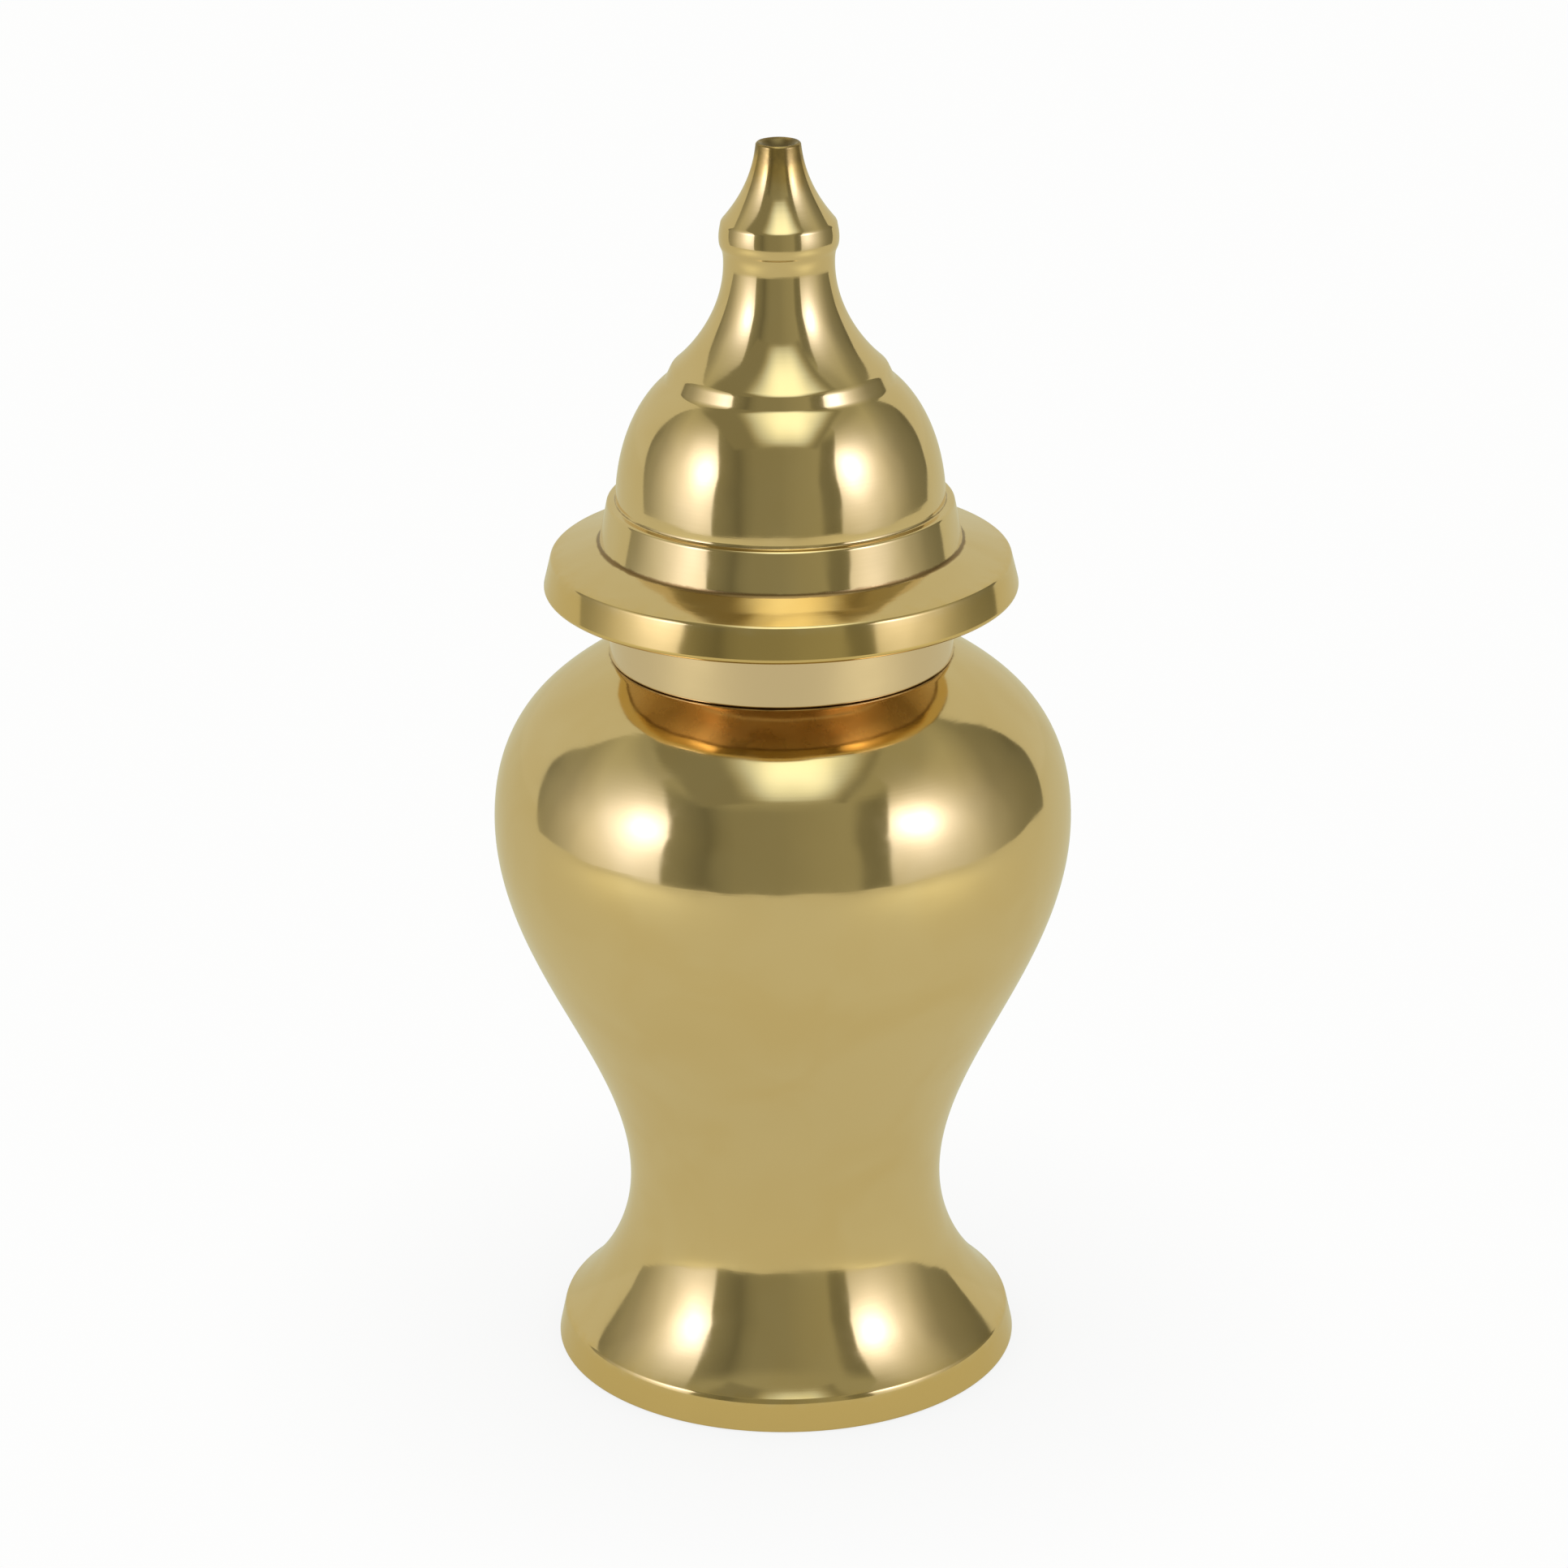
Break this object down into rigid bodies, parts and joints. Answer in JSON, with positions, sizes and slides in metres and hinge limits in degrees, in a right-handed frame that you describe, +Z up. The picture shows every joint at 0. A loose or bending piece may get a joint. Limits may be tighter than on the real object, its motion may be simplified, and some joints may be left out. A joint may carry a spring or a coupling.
{
  "type": "cremation urn",
  "caption": "Small lidded vase-shaped urn on a flared foot, with a domed lid and a spired finial, for holding cremated ashes.",
  "frame": {"origin": "centre of the foot's underside, on the surface that the urn stands on", "axes": "+Z up along the axis of turning, towards the finial; X and Y level, and alike because the form is round"},
  "size_m": [0.0406, 0.0406, 0.089],
  "materials": {
    "polished_brass": "mirror polished yellow brass with faint turning and buffing lines"
  },
  "bodies": {
    "root": {"jar": "polished_brass", "lid": "polished_brass"}
  },
  "joints": []
}
